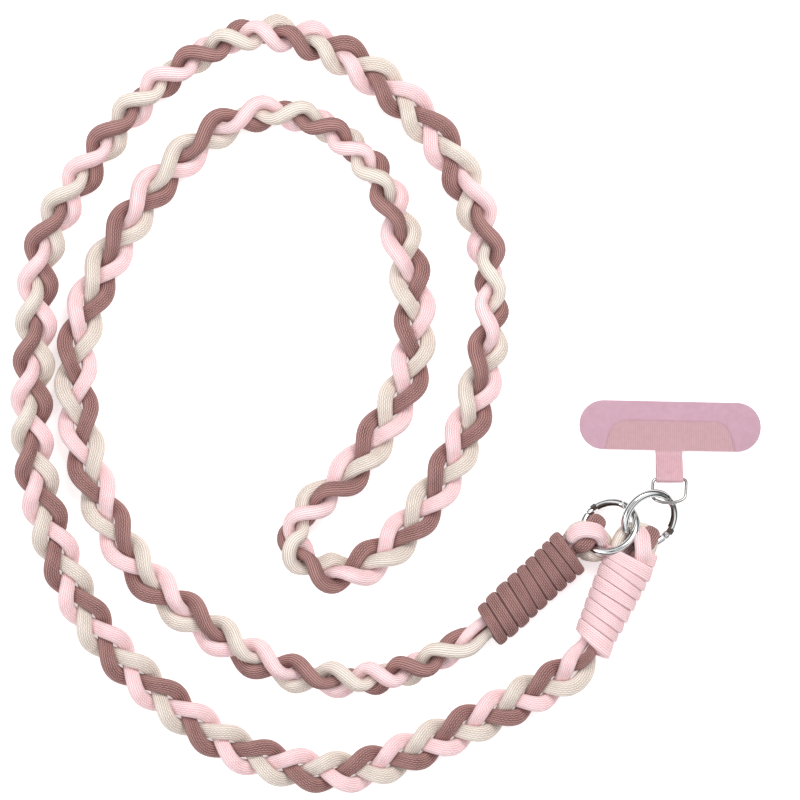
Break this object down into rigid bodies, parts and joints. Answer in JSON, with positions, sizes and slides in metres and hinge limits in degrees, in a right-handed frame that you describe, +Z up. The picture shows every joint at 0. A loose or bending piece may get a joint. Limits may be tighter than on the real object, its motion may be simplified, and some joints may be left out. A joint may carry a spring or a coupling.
{
  "type": "phone crossbody strap",
  "caption": "Plaited cord strap laid flat, looped over linked spring-gate rings, with a D-ring and a cloth tether tab for a phone case.",
  "frame": {"origin": "below the middle of the whole strap's plan, on the surface that it lies on", "axes": "+Z up out of the surface; +X to the right and +Y to the top of the strap as seen from above"},
  "size_m": [0.2496, 0.2584, 0.0172],
  "materials": {
    "mauve_cord": "braided polyester cord, matt",
    "cream_cord": "braided polyester cord, matt",
    "pink_cord": "braided polyester cord, matt",
    "nickel": "polished nickel plate",
    "pad_cloth": "fine woven cloth, satin",
    "patch_cloth": "fine ribbed cloth, satin"
  },
  "bodies": {
    "strap": {"cord_mauve": "mauve_cord", "cord_cream": "cream_cord", "cord_pink": "pink_cord", "whip_mauve": "mauve_cord", "whip_pink": "pink_cord", "ring_a": "nickel", "ring_b": "nickel", "d_ring": "nickel", "tab_pad": "pad_cloth", "tab_patch": "patch_cloth"},
    "gate_a": {"gate_a": "nickel"},
    "gate_b": {"gate_b": "nickel"}
  },
  "joints": [
    {"name": "gate_a_hinge", "type": "hinge", "parent": "strap", "child": "gate_a", "pos_m": [0.06762, -0.03601, 0.00399], "axis": [0.265, -0.4589, -0.848], "range_deg": [0, 20], "stiffness_Nm_per_rad": 0.002},
    {"name": "gate_b_hinge", "type": "hinge", "parent": "strap", "child": "gate_b", "pos_m": [0.09288, -0.04364, 0.0035], "axis": [0.4172, -0.3501, 0.8387], "range_deg": [0, 20], "stiffness_Nm_per_rad": 0.002}
  ]
}
